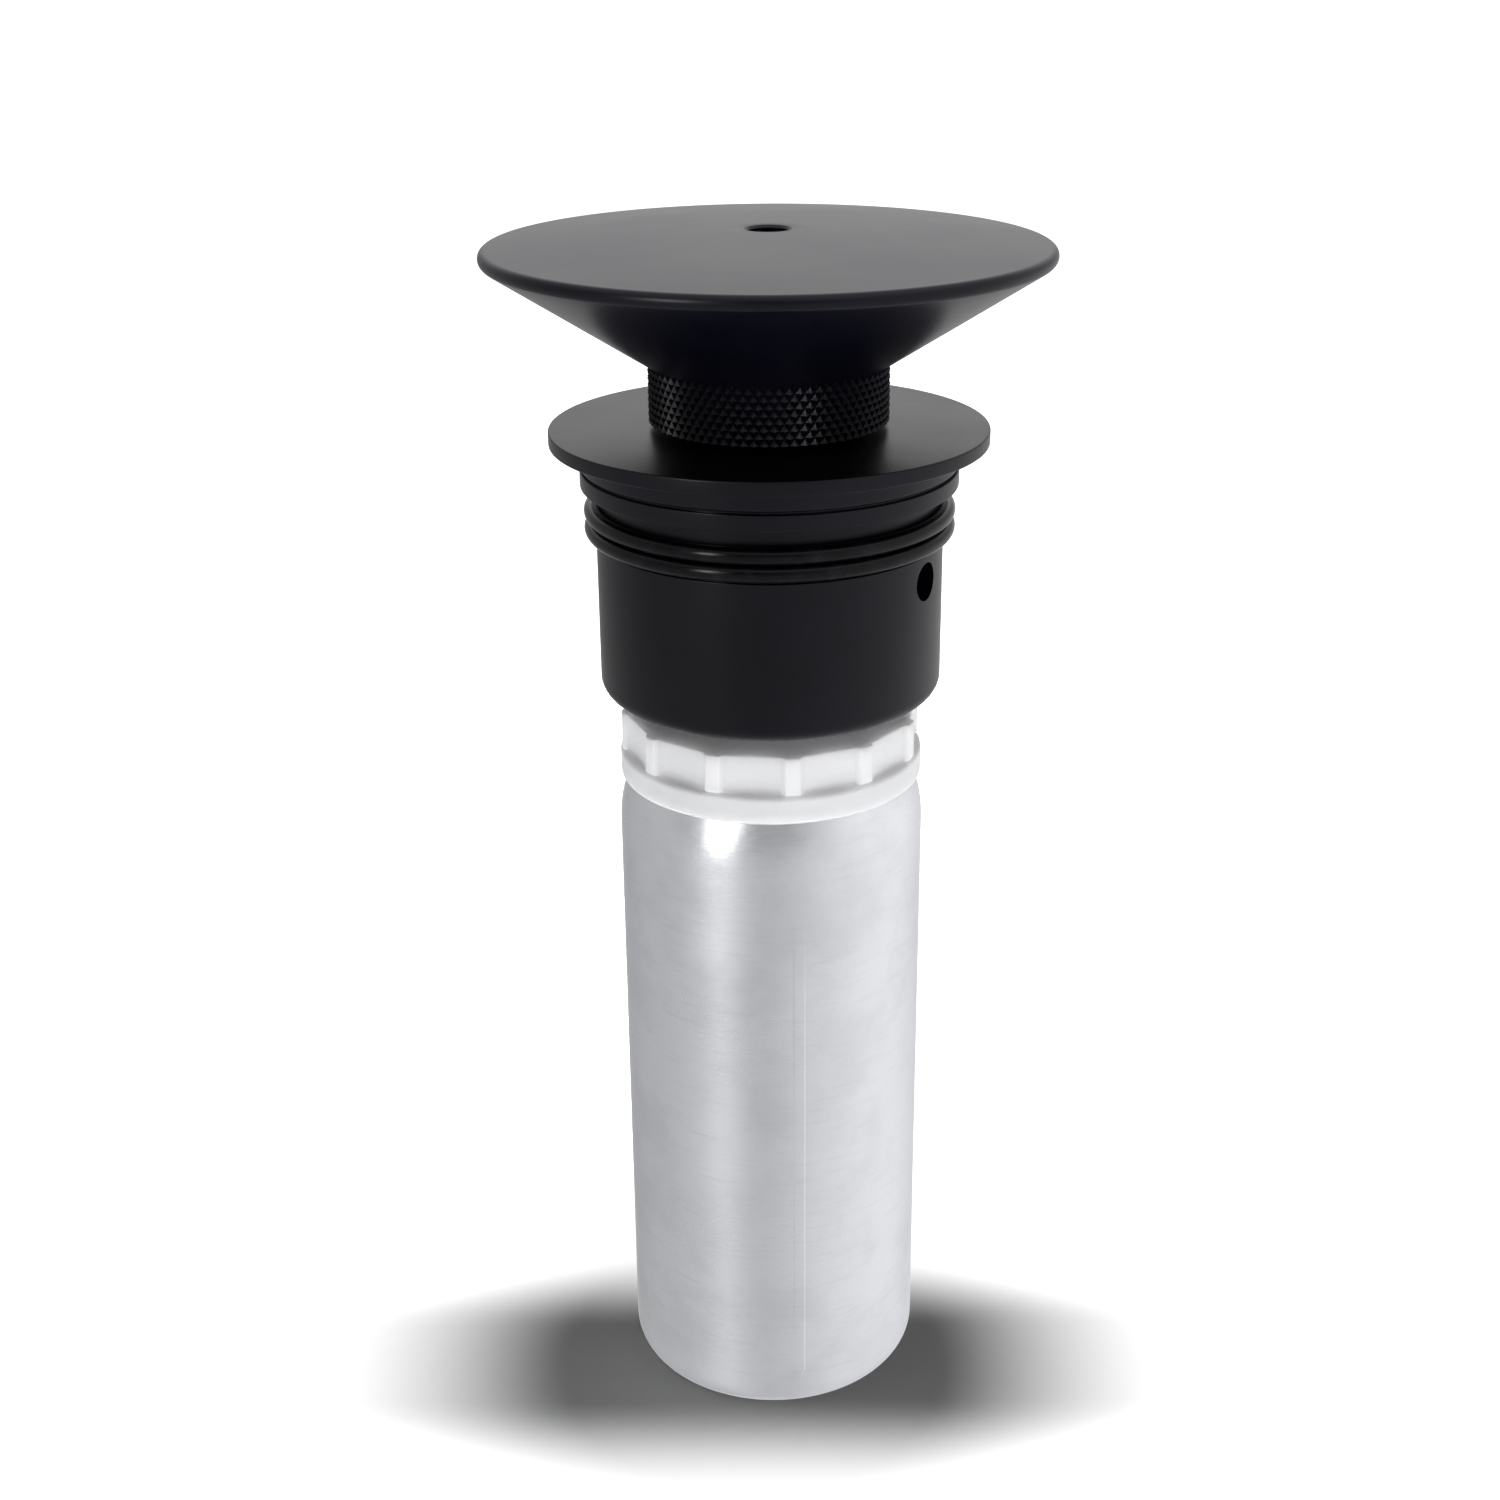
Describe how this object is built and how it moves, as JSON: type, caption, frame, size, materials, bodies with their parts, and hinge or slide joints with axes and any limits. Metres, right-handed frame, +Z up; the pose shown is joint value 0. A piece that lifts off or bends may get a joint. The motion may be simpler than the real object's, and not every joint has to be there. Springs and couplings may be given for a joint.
{
  "type": "liquid nitrogen dewar",
  "caption": "Small double-walled aluminium flask with a white ribbed screw ring and a black vented head that has O-rings, a seating flange, a knurled collar and a mushroom cap.",
  "frame": {"origin": "middle of the base, on the surface that the flask stands on", "axes": "+Z up along the flask's axis towards the cap; the vent port is on the front right, 61 degrees from -Y towards +X"},
  "size_m": [0.1152, 0.1152, 0.2629],
  "materials": {
    "bare_aluminium": "bare drawn aluminium, fine brushing",
    "inner_steel": "spun stainless steel",
    "glass_laminate": "epoxy glass laminate, low heat conduction",
    "foil_insulation": "layers of aluminised film and paper",
    "getter_cloth": "woven pouch of adsorbent",
    "white_plastic": "moulded white polyethylene",
    "gasket_plastic": "PTFE sheet",
    "black_anodised": "satin black anodised, turned",
    "black_rubber": "smooth moulded rubber",
    "insulating_foam": "closed-cell foam",
    "stopper_plastic": "turned PTFE",
    "bronze": "bearing bronze",
    "screw_steel": "stainless steel"
  },
  "bodies": {
    "flask": {"outer_shell": "bare_aluminium", "inner_vessel": "inner_steel", "neck_tube": "glass_laminate", "neck_fitting": "glass_laminate", "insulation_wrap": "foil_insulation", "getter_sachet": "getter_cloth", "base_spacer": "glass_laminate", "evacuation_plug": "inner_steel", "evacuation_seal": "black_rubber"},
    "gasket": {"neck_gasket": "gasket_plastic"},
    "ring": {"neck_ring": "white_plastic"},
    "head": {"plug_body": "black_anodised", "lower_o_ring": "black_rubber", "upper_o_ring": "black_rubber", "flange_seal": "black_rubber", "flange_plate": "black_anodised", "lock_screw": "screw_steel", "fill_tube": "inner_steel", "tube_nut": "screw_steel", "fill_funnel": "inner_steel", "foam_neck_plug": "insulating_foam", "foam_retainer": "glass_laminate"},
    "stopper": {"fill_stopper": "stopper_plastic", "stopper_seal": "black_rubber"},
    "cap": {"cap_shell": "black_anodised", "cap_foam": "insulating_foam", "cap_hub": "black_anodised", "knurled_collar": "black_anodised", "thrust_washer": "bronze", "swivel_screw": "screw_steel"}
  },
  "joints": [
    {"name": "ring_rise", "type": "slide", "parent": "flask", "child": "gasket", "axis": [0, 0, 1], "range_m": [0, 0.0081]},
    {"name": "ring_turn", "type": "hinge", "parent": "gasket", "child": "ring", "pos_m": [0, 0, 0.155], "axis": [0, 0, 1], "range_deg": [0, 720]},
    {"name": "head_lift", "type": "slide", "parent": "gasket", "child": "head", "axis": [0, 0, 1], "range_m": [0, 0.075]},
    {"name": "stopper_rise", "type": "slide", "parent": "head", "child": "stopper", "axis": [0, 0, 1], "range_m": [0, 0.0121]},
    {"name": "cap_turn", "type": "hinge", "parent": "stopper", "child": "cap", "pos_m": [0, 0, 0.23], "axis": [0, 0, 1], "range_deg": [0, 1080]}
  ],
  "couplings": [
    {"joint": "ring_rise", "follows": "ring_turn", "m_per_rad": 0.00063662},
    {"joint": "stopper_rise", "follows": "cap_turn", "m_per_rad": 0.00063662}
  ]
}
